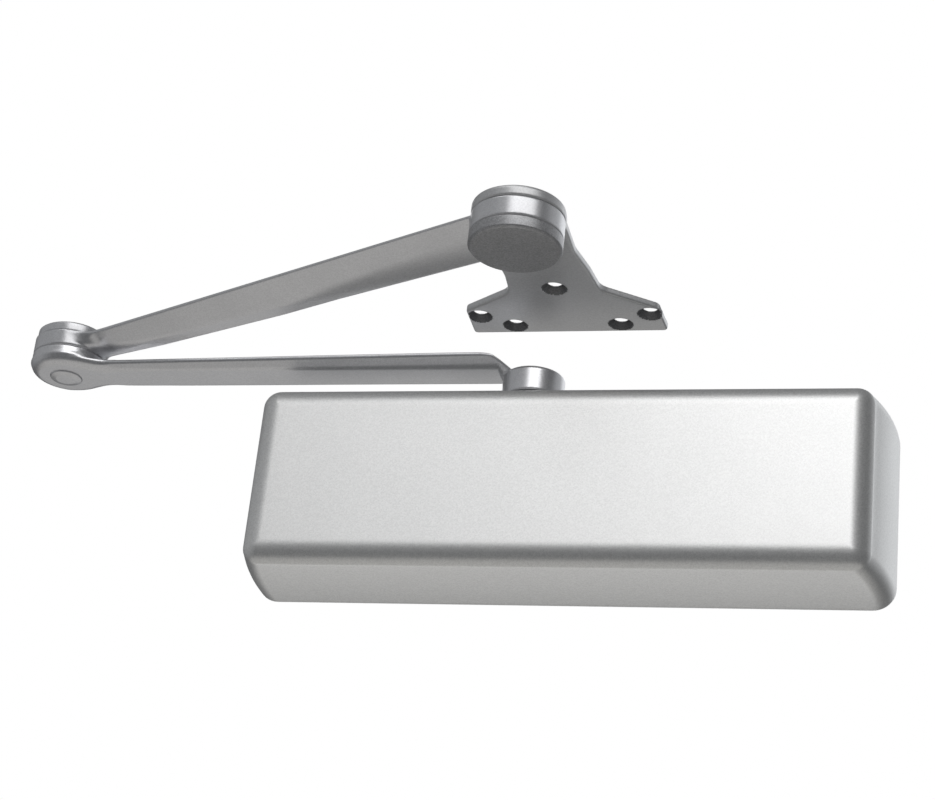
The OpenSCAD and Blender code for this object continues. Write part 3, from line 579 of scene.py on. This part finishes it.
def build_cover():
    low, high = box_mm("cover")
    wall, front_half, edge_r = 2.5, 150.5, 7.5
    size = {
        "edge_r": edge_r, "edge_in": 10.5, "depth": -low[1], "back_y": high[1], "front_half": front_half,
        "left_flare": -low[0] - front_half, "right_flare": high[0] - front_half,
        "front_half_z": high[2] - 1.6, "top_flare": 1.6, "front_corner": 8.8, "back_corner": 11.0,
    }
    outer, inner = cover_rings(0, size), cover_rings(wall, size)
    lip = 0.5
    rim = []
    for ring, step in ((outer[0], 0.15), (inner[0], -0.15)):
        rim.append((ring[0] - step, ring[1] - step, ring[2] - step, ring[3] - step, high[1]))
    outer[0] = outer[0][:4] + (high[1] - lip,)
    inner[0] = inner[0][:4] + (high[1] - lip,)
    rings = outer[::-1] + rim + inner
    verts, faces = [], []
    for left, right, half_z, r, y in rings:
        verts += [(x, y, z) for x, z in ring_outline(left, right, half_z, r)]
    count = len(verts) // len(rings)
    for i in range(len(rings) - 1):
        for s in range(count):
            n = (s + 1) % count
            faces.append((i * count + s, i * count + n, (i + 1) * count + n, (i + 1) * count + s))
    faces.append(tuple(range(count)))
    faces.append(tuple(range(len(verts) - count, len(verts))))
    cover = mesh_object("cover_shell", np.array(verts) * MM, faces)
    inside_from = (len(outer) + 1) * count
    dress(cover, "cover_paint", "cover_inside")
    for number, face in enumerate(cover.data.polygons):
        if inside_from <= number != len(faces) - 2:
            face.material_index = 1
    outward(cover)

    notch_r, notch_top, notch_low = 12, high[2] + 6, high[2] - 8
    steps = 40
    around = [math.pi + math.pi * s / steps for s in range(steps + 1)]
    outline = [(PINION_X + notch_r * math.cos(a), AXIS_Y + notch_r * math.sin(a)) for a in around]
    outline += [(PINION_X + notch_r, 5), (PINION_X - notch_r, 5)]
    cutter = mesh_object("notch_cutter", [
        (x * MM, y * MM, z * MM) for z in (notch_low, notch_top) for x, y in outline
    ], [tuple(range(len(outline)))[::-1], tuple(range(len(outline), 2 * len(outline)))] + [
        (s, (s + 1) % len(outline), (s + 1) % len(outline) + len(outline), s + len(outline))
        for s in range(len(outline))
    ])
    outward(cutter)
    cut = cover.modifiers.new("notch", "BOOLEAN")
    cut.object, cut.operation, cut.solver = cutter, "DIFFERENCE", "EXACT"
    apply_modifiers(cover)
    bpy.data.objects.remove(cutter)
    smooth(cover, sharp_over=32)
    cover.modifiers.new("even_normals", "WEIGHTED_NORMAL").keep_sharp = True
    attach(cover, "cover")
    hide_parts("cover")

    add_cover_ribs(low, high, size, wall)


def add_cover_ribs(low, high, size, wall):
    """Four thin ribs inside the cover, cut short where its rounded front edge begins."""
    edge_in, edge_r = size["edge_in"], size["edge_r"]
    corner_z, corner_y = size["front_half_z"] - edge_in, low[1] + edge_r
    depth_in, thickness = wall - 0.4, 1.6
    for number, x in enumerate((-64, 52)):
        for side, place in ((-1, "bottom"), (1, "top")):
            rib_low = (x, low[1] + depth_in, 41)
            rib_high = (x + thickness, -6.5, high[2] - 3.3)

            def field(a, b, c):
                rib = block(a, b, c * side, rib_low, rib_high, 0.35)
                up = np.maximum(c * side - corner_z, 0) / (edge_in - depth_in)
                out = np.maximum(corner_y - b, 0) / (edge_r - depth_in)
                return np.maximum(rib, (np.hypot(up, out) - 1) * 5)

            span = sorted((side * 38, side * 50))
            rib = field_piece(f"cover_rib_{number}_{place}", field,
                              (x - 1, low[1], span[0]), (x + 3, -4, span[1]), 0.5)
            put(rib, "cover", "cover_paint", material="cover_inside")


# ---------- arms ----------

def build_main_arm():
    low, high = box_mm("main_arm")
    hub_low, arm_low, boss_high = low[2], 65.5, high[2]
    tip_t, root_t = 4.8, 6.9
    strip, tilt = 2.1, 1.1
    hub_r, elbow_r, hub_high, recess = 15.5, 19.0, 63.0, 3.4
    length = PINION_X - ELBOW_X
    hub_side = length - hub_r

    def field(x, y, z):
        along, across = x - ELBOW_X, y - AXIS_Y
        share = np.clip(along / hub_side, 0, 1)
        half = 10.3 + 2.0 * share
        roof = arm_low + tip_t + (root_t - tip_t) * share
        # below a narrow upright strip, the front side leans under
        lean = (-across - half + tilt * (roof - strip - z)) * 0.67
        lean_under = round_max(-across - half, lean, 0.5)
        bar = np.maximum(np.maximum(across - half, lean_under), np.maximum(-along, along - length + 9))
        boss_plan = disc(along, across, elbow_r)
        plan = smooth_min(bar, boss_plan, 11)
        # the strap runs level, then its top slopes down on to the hub
        over = along - (hub_side - 5.5)
        slope = 0.5 * (over + np.sqrt(over * over + 14)) * 0.66
        floor = arm_low - 8.0 * smooth_step(along, hub_side - 3.0, hub_side + 4.0)
        low_edge = np.interp(along, [0, 12, 30, 60, hub_side - 6, hub_side + 2],
                             [5.5, 4.5, 1.0, 0.5, 1.6, 2.2])
        top_edge = np.where(along < 30, 1.0, 1.4)
        ease = 0.84 + 0.16 * (1 - smooth_step(along, hub_side - 9, hub_side - 3))
        strap = round_max(round_max(plan, floor - z, low_edge), (z - roof + slope) * ease, top_edge)
        boss = plate(boss_plan, z, arm_low, boss_high, 6.0, 0.5)
        blend = 0.02 + 3.0 * smooth_step(z, arm_low + 3, arm_low + 6)
        arm = smooth_min(strap, boss, blend)
        hub = plate(disc(along - length, across, hub_r), z, hub_low, hub_high, 0.8, 2.4)
        arm = smooth_min(arm, hub, 2.2)
        bore = np.hypot(along, across) - 6.05
        seat = np.maximum(np.hypot(along - length, across) - 10.2, hub_high - recess - z)
        square = np.maximum(np.abs(along - length), np.abs(across)) - 6.55
        return smooth_max(arm, -np.minimum(np.minimum(bore, seat), square), 0.3)

    arm = field_piece("arm_forging", field, (ELBOW_X - 21, AXIS_Y - 22, hub_low - 1),
                      (PINION_X + 18, AXIS_Y + 22, boss_high + 1.5), 0.6)
    put(arm, "arm", "arm_paint", ["main_arm"])


def build_forearm():
    low, high = box_mm("forearm")
    ring_low, ring_high = 75.5, 84.4
    tip_low, tip_high = low[2], high[2] - 0.2
    elbow_r, knuckle_r = 19.0, 21.8
    turn_x, turn_y = math.cos(FOREARM_ANGLE), math.sin(FOREARM_ANGLE)
    length = FOREARM_LENGTH
    strip = 1.6

    def field(x, y, z):
        dx, dy = x - ELBOW_X, y - AXIS_Y
        along = dx * turn_x - dy * turn_y
        across = dx * turn_y + dy * turn_x
        share = np.clip((along - 30) / (length - 40), 0, 1)
        half = 8.6 + 5.6 * share
        floor = ring_low + (tip_low - ring_low) * np.clip(along / length, 0, 1) + 0.15
        roof = ring_high + (tip_high - ring_high) * np.clip(along / length, 0, 1) - 0.15
        # the front side leans under, more so towards the knuckle
        tilt = 1.4 + 1.0 * share
        lean_under = (-across - half + tilt * (roof - strip - z)) / np.sqrt(1 + tilt * tilt)
        sides = np.maximum(across - half, round_max(-across - half, lean_under, 0.8))
        bar_plan = np.maximum(sides, np.maximum(8 - along, along - length + 8))
        ring_plan = disc(along, across, elbow_r)
        low_edge = np.interp(along, [20, 60, 140, 175, 260], [3.0, 0.5, 0.5, 2.5, 4.0])
        plan = smooth_min(bar_plan, ring_plan, 8)
        bar = plate(np.where(along < 60, plan, bar_plan), z, floor, roof, low_edge, 1.6)
        ring = plate(ring_plan, z, ring_low, ring_high, 0.9, 0.9)
        tip = plate(disc(along - length, across, knuckle_r), z, tip_low, tip_high, 0.8, 0.8)
        arm = np.minimum(np.minimum(bar, ring), tip)
        bush = np.hypot(along, across) - 8.55
        tip_bush = np.hypot(along - length, across) - 10.55
        return np.maximum(arm, -np.minimum(bush, tip_bush))

    arm = field_piece("forearm_forging", field, (ELBOW_X - 21, KNUCKLE_Y - 24, tip_low - 1.2),
                      (KNUCKLE_X + 24, AXIS_Y + 21, ring_high + 1.4), 0.6)
    put(arm, "forearm", "arm_paint", ["forearm"])


def build_bracket():
    low, high = box_mm("soffit_bracket")
    top = high[2]
    plate_low = top - 3.6
    disc_low, disc_r = low[2], 21.8
    shift, reach, half, neck = 3.5, 115.0, 48.5, 21.0
    wing, waist = 91.5, 72.5
    corners = [
        (disc_r - 2, 0, 0), (disc_r - 2, waist * 0.5, 20), (shift + neck - 1, waist * 0.77, 14),
        (shift + neck + 1, waist + 1, 9), (shift + half - 1, wing + 1, 5),
        (shift + half + 0.5, reach, 2), (shift - half - 0.5, reach, 2),
        (shift - half, wing, 4), (shift - neck - 2, waist + 1, 9),
        (shift - neck - 1, waist * 0.80, 14), (-disc_r + 2, waist * 0.5, 20), (-disc_r + 2, 0, 0),
    ]
    outline = rounded_outline(corners)
    holes = [(shift, 70.5)] + [(shift + s * 42.5, 97.5) for s in (-1, 1)]
    holes += [(shift + s * 26.5, 107.5) for s in (-1, 1)]
    hole_r, sink_r = 3.4, 6.2

    def field(x, y, z):
        px, py = x - KNUCKLE_X, y - KNUCKLE_Y
        plan = outline_distance(px, py, outline)
        flat = plate(plan, z, plate_low, top, 1.2, 0.5)
        hub = plate(disc(px, py, disc_r), z, disc_low, top, 0.8, 2.2)
        blend = 0.02 + 4.0 * (1 - smooth_step(z, plate_low + 0.5, top - 1.5))
        form = smooth_min(flat, hub, blend)
        hole = np.full(np.broadcast(px, py, z).shape, 1e3)
        for hx, hy in holes:
            away = np.hypot(px - hx, py - hy)
            sink = (away - sink_r + (z - plate_low)) * math.sqrt(0.5)
            hole = np.minimum(hole, np.minimum(away - hole_r, sink))
        form = smooth_max(form, -hole, 0.3)
        return np.maximum(form, -(np.hypot(px, py) - 8.02))

    bracket = field_piece("bracket_casting", field,
                          (KNUCKLE_X - 47, KNUCKLE_Y - 24, disc_low - 1.2),
                          (KNUCKLE_X + 56, KNUCKLE_Y + reach + 2, top + 1.3), 0.55)
    put(bracket, "bracket", "arm_paint", ["soffit_bracket"], "bracket_paint")
    # Painted shade: the sloped faces of the countersinks get the much darker paint, in place of the shade that
    # falls in these hollows.
    bracket.data.materials.append(MATERIALS["countersink_painted_shade"])
    for face in bracket.data.polygons:
        px, py = face.center.x / MM - KNUCKLE_X, face.center.y / MM - KNUCKLE_Y
        near = min(math.hypot(px - hx, py - hy) for hx, hy in holes)
        if near < sink_r + 0.1 and abs(face.normal.z) < 0.96:
            face.material_index = 1


def build_turned_trim():
    elbow = (ELBOW_X, AXIS_Y)
    knuckle = (KNUCKLE_X, KNUCKLE_Y)
    low, high = box_mm("elbow_disc")
    r = (high[0] - low[0]) / 2
    dome = [(0, high[2], 0), (r - 8, high[2] - 0.1, 4), (r - 1.2, high[2] - 0.3, 1),
            (r, high[2] - 1.3, 0.9), (r, low[2], 0.4), (6.02, low[2], 0), (6.02, low[2] + 2.1, 0),
            (0, low[2] + 2.1, 0)]
    put(lathe("elbow_dome", rounded_profile(dome), elbow), "arm", "arm_paint", ["elbow_disc"])

    low, high = box_mm("elbow_pin")
    head_r, seat = 8.6, low[2] + 1.5
    rivet = [(0, low[2], 0), (head_r * 0.6, low[2] + 0.12, 3), (head_r - 0.5, low[2] + 0.75, 0.8),
             (head_r, seat + 0.15, 0.1), (6.0, seat + 0.15, 0), (6.0, high[2], 0.3), (0, high[2], 0)]
    put(lathe("elbow_rivet", rounded_profile(rivet), elbow), "arm", "arm_paint", ["elbow_pin"])

    low, high = box_mm("knuckle_cap")
    r = (high[0] - low[0]) / 2
    cap = [(0, low[2], 0), (r - 1.1, low[2], 0.4), (r, low[2] + 1.1, 0.8),
           (r, high[2], 0.5), (8.02, high[2], 0), (8.02, low[2] + 1.9, 0), (0, low[2] + 1.9, 0)]
    put(lathe("knuckle_disc", rounded_profile(cap), knuckle), "bracket", "cap_metal", ["knuckle_cap"])


# ---------- closer body ----------

def build_body():
    low, high = box_mm("closer_body")
    barrel_left, barrel_right, barrel_r, bore_r = -100.0, 130.0, 22.0, 16.0
    boss_low, boss_high, boss_r = -36.0, 37.0, 17.0
    foot_x, foot_z, foot_r = 89.0, 30.0, 10.0
    valves = [-66.0, -50.0, 16.0]
    valve_z, valve_front = -29.0, -41.0

    def field(x, y, z):
        out = y - AXIS_Y
        away = np.hypot(out, z)
        barrel = round_max(away - barrel_r, slab(x, barrel_left, barrel_right), 0.6)
        for a, b in ((barrel_left, barrel_left + 10), (barrel_right - 10, barrel_right)):
            band = round_max(away - barrel_r - 0.7, slab(x, a, b), 0.6)
            barrel = round_min(barrel, band, 1.0)
        base = block(x, y, z, (low[0], -5, -16), (high[0], 2, 16), 1.4)
        web = block(x, y, z, (barrel_left, -14, -18), (barrel_right, 2, 18), 1.0)
        form = round_min(barrel, round_min(base, web, 2.0), 3.5)
        boss = plate(disc(x - PINION_X, out, boss_r), z, boss_low, boss_high, 0.8, 0.8)
        boss_web = block(x, y, z, (PINION_X - boss_r, AXIS_Y, boss_low + 4),
                         (PINION_X + boss_r, 2, boss_high - 4), 1.5)
        form = round_min(form, round_min(boss, boss_web, 1.0), 4.0)
        for sx in (-1, 1):
            middle = sx * foot_x
            foot = block(x, y, z, (middle - foot_r, -9, -foot_z), (middle + foot_r, 2, foot_z), 1.2)
            for sz in (-1, 1):
                pad = np.hypot(x - middle, z - sz * foot_z) - foot_r
                foot = np.minimum(foot, round_max(pad, -9 - y, 1.2))
            form = round_min(form, foot, 3.5)
        for a, b in ((valves[0], valves[1]), (valves[2], valves[2])):
            pocket = block(x, y, z, (a - 11, valve_front, valve_z - 8), (b + 11, -12, valve_z + 16), 2.2)
            form = round_min(form, pocket, 3.0)
        form = np.maximum(form, y)
        cut = away - bore_r
        for a, b in ((barrel_left - 5, barrel_left + 16), (barrel_right - 18, barrel_right + 5)):
            cut = np.minimum(cut, np.maximum(away - 17.5, slab(x, a, b)))
        cut = np.minimum(cut, np.hypot(x - PINION_X, out) - 12.5)
        cut = np.minimum(cut, np.hypot(np.abs(x) - foot_x, np.abs(z) - foot_z) - 3.5)
        for vx in valves:
            cut = np.minimum(cut, np.maximum(np.hypot(x - vx, z - valve_z) - 4.0, y + 19))
        for cx in (low[0] + 7, high[0] - 7):
            cut = np.minimum(cut, np.hypot(x - cx, z) - 2.0)
        return smooth_max(form, -cut, 0.4)

    body = field_piece("body_casting", field, low - 1.5, high + 1.5, 0.8)
    put(body, "closer", "body_casting", ["closer_body"])


# ---------- CAD nodes that stay ----------

def finish_cad_nodes():
    slots = {s["node"]: s["material_slot"] for s in frame["record"]["subparts"]}
    replaced = {"cover", "main_arm", "forearm", "soffit_bracket", "elbow_disc", "elbow_pin",
                "knuckle_cap", "closer_body"}
    for name, obj in NODES.items():
        if name in replaced:
            continue
        dress(obj, slots[name])
        if name == "main_spring":
            continue
        weld = obj.modifiers.new("weld", "WELD")
        weld.merge_threshold = 1e-6
        bevel = obj.modifiers.new("edges", "BEVEL")
        bevel.width, bevel.segments = 0.00022, 2
        bevel.limit_method, bevel.angle_limit = "ANGLE", math.radians(40)
        bevel.harden_normals = True


# ---------- stage, light and camera ----------

def build_stage():
    steps = 96
    radius, level = 14.0, -1.5
    around = [2 * math.pi * s / steps for s in range(steps)]
    verts = [(0, 0, level)] + [(radius * math.cos(a), radius * math.sin(a), level) for a in around]
    floor = mesh_object("floor", verts, [(0, s + 1, (s + 1) % steps + 1) for s in range(steps)])
    n = Nodes("pale_floor")
    cloud = n.noise(0.8, detail=3)
    n.finish(n.mix(cloud, (0.86, 0.86, 0.86), (0.90, 0.90, 0.90)), n.spread(cloud, 0, 1, (0.8, 0.9)),
             metallic=0.0)
    floor.data.materials.append(n.material)
    floor.visible_glossy = False
    floor.visible_diffuse = False
    return floor


WORLD_BASE = 0.15
COOL, WARM = (0.96, 0.98, 1.0, 1), (1.0, 0.975, 0.93, 1)
# Lobes of the studio's brightness: azimuth from the front, elevation, inner and outer angle, strength
COOL_LOBES = [
    (160, 25, 8, 28, 0.95),
    (122, 20, 10, 40, 0.32),
    (-75, 15, 20, 60, 0.20),
    (180, 80, 15, 45, 0.06),
    (-15, 28, 10, 30, 0.14),
]
WARM_LOBES = [
    (195, -75, 38, 56, 0.38),
]


def world_light(tree, place, base, lobes, color):
    """A background light of one colour, brighter round the given directions."""
    level = None
    for azimuth, elevation, inner, outer, strength in lobes:
        a, e = math.radians(azimuth), math.radians(elevation)
        toward = tree.nodes.new("ShaderNodeVectorMath")
        toward.operation = "DOT_PRODUCT"
        tree.links.new(place, toward.inputs[0])
        toward.inputs[1].default_value = (math.sin(a) * math.cos(e), -math.cos(a) * math.cos(e), math.sin(e))
        lobe = tree.nodes.new("ShaderNodeMapRange")
        lobe.interpolation_type = "SMOOTHSTEP"
        tree.links.new(toward.outputs["Value"], lobe.inputs["Value"])
        lobe.inputs["From Min"].default_value = math.cos(math.radians(outer))
        lobe.inputs["From Max"].default_value = math.cos(math.radians(inner))
        lobe.inputs["To Min"].default_value = 0
        lobe.inputs["To Max"].default_value = strength
        total = tree.nodes.new("ShaderNodeMath")
        total.operation = "ADD"
        total.inputs[1].default_value = base
        tree.links.new(lobe.outputs[0], total.inputs[0])
        if level is not None:
            tree.links.new(level, total.inputs[1])
        level = total.outputs[0]
    light = tree.nodes.new("ShaderNodeBackground")
    tree.links.new(level, light.inputs["Strength"])
    light.inputs["Color"].default_value = color
    return light.outputs[0]


def build_world():
    """A studio that looks plain white itself, with darker and lighter sides that the paint reflects."""
    world = bpy.data.worlds.new("studio")
    bpy.context.scene.world = world
    world.use_nodes = True
    tree = world.node_tree
    tree.nodes.clear()
    place = tree.nodes.new("ShaderNodeTexCoord").outputs["Generated"]
    both = tree.nodes.new("ShaderNodeAddShader")
    tree.links.new(world_light(tree, place, WORLD_BASE, COOL_LOBES, COOL), both.inputs[0])
    tree.links.new(world_light(tree, place, 0, WARM_LOBES, WARM), both.inputs[1])
    seen = tree.nodes.new("ShaderNodeBackground")
    seen.inputs["Color"].default_value = (1, 1, 1, 1)
    ray = tree.nodes.new("ShaderNodeLightPath")
    choice = tree.nodes.new("ShaderNodeMixShader")
    tree.links.new(ray.outputs["Is Camera Ray"], choice.inputs[0])
    tree.links.new(both.outputs[0], choice.inputs[1])
    tree.links.new(seen.outputs[0], choice.inputs[2])
    out = tree.nodes.new("ShaderNodeOutputWorld")
    tree.links.new(choice.outputs[0], out.inputs["Surface"])


def softbox(name, azimuth, elevation, distance, size, radiance, only):
    """A rectangular light aimed at the object, whose light and shadows stay among the given pieces."""
    light = bpy.data.lights.new(name, "AREA")
    light.shape, light.size, light.size_y = "RECTANGLE", size[0], size[1]
    light.energy = radiance * math.pi * size[0] * size[1]
    obj = bpy.data.objects.new(name, light)
    bpy.context.scene.collection.objects.link(obj)
    a, e = math.radians(azimuth), math.radians(elevation)
    toward = Vector((math.sin(a) * math.cos(e), -math.cos(a) * math.cos(e), math.sin(e)))
    obj.location = toward * distance
    obj.rotation_euler = toward.to_track_quat("Z", "Y").to_euler()
    keep_light_to(obj, only)


def keep_light_to(obj, only):
    """Keeps a light's rays and shadows among the given pieces, and the light itself out of sight."""
    lit = bpy.data.collections.new(obj.name + "_lit")
    for piece in only:
        lit.objects.link(piece)
    obj.light_linking.receiver_collection = lit
    obj.light_linking.blocker_collection = lit
    obj.visible_camera = False


def build_lights(floor):
    """One set of lights for the cover, one for everything else, and an even one for the floor."""
    pieces = [o for o in bpy.data.objects if o.type == "MESH" and o != floor]
    cover = [o for o in pieces if o.name.startswith("cover_")]
    others = [o for o in pieces if o not in cover]
    main_arm = [o for o in others if o.name == "arm_forging"]
    rest = [o for o in others if o not in main_arm]
    softbox("key", 4, 31, 2.2, (0.46, 1.55), 3.9, cover)
    softbox("key_side", -18, 31, 2.2, (0.85, 1.5), 1.2, cover)
    softbox("cover_under", 195, -36, 2.0, (1.8, 0.35), 1.0, cover)
    softbox("arm_key", 20, 34, 2.0, (1.9, 1.1), 1.5, rest)
    softbox("hub_key", 11, 34, 2.0, (1.4, 1.1), 2.4, main_arm)
    softbox("arm_top", -20, 62, 2.0, (1.4, 0.9), 1.2, others)
    softbox("arm_under", 195, -20, 2.0, (1.8, 0.6), 0.30, others)
    softbox("back_fill", 200, 25, 2.2, (1.6, 1.0), 1.1, others)
    even = bpy.data.objects.new("floor_light", bpy.data.lights.new("floor_light", "SUN"))
    even.data.energy = 1.7
    bpy.context.scene.collection.objects.link(even)
    keep_light_to(even, [floor])


def build_camera():
    """The camera stands below the closer and to its right, tipped a little to the side."""
    azimuth, elevation, roll = math.radians(15.14), math.radians(-25.53), math.radians(6.33)
    target, distance = Vector((-0.0523, -0.025, 0.0516)), 1.2055
    outward_axis = Vector((math.sin(azimuth) * math.cos(elevation),
                           -math.cos(azimuth) * math.cos(elevation), math.sin(elevation)))
    right = (-outward_axis).cross(Vector((0, 0, 1))).normalized()
    up = right.cross(-outward_axis)
    turned_right = right * math.cos(roll) + up * math.sin(roll)
    turned_up = up * math.cos(roll) - right * math.sin(roll)
    data = bpy.data.cameras.new("camera")
    data.sensor_width = 36.0
    data.lens = 93.27
    data.clip_end = 60.0
    camera = bpy.data.objects.new("camera", data)
    bpy.context.scene.collection.objects.link(camera)
    axes = Matrix((turned_right, turned_up, outward_axis)).transposed()
    camera.matrix_world = Matrix.Translation(target + outward_axis * distance) @ axes.to_4x4()
    bpy.context.scene.camera = camera


build_camera()
build_cover()
build_main_arm()
build_forearm()
build_bracket()
build_turned_trim()
build_body()
finish_cad_nodes()
studio_floor = build_stage()
build_world()
build_lights(studio_floor)
bpy.context.scene.view_settings.view_transform = "Standard"
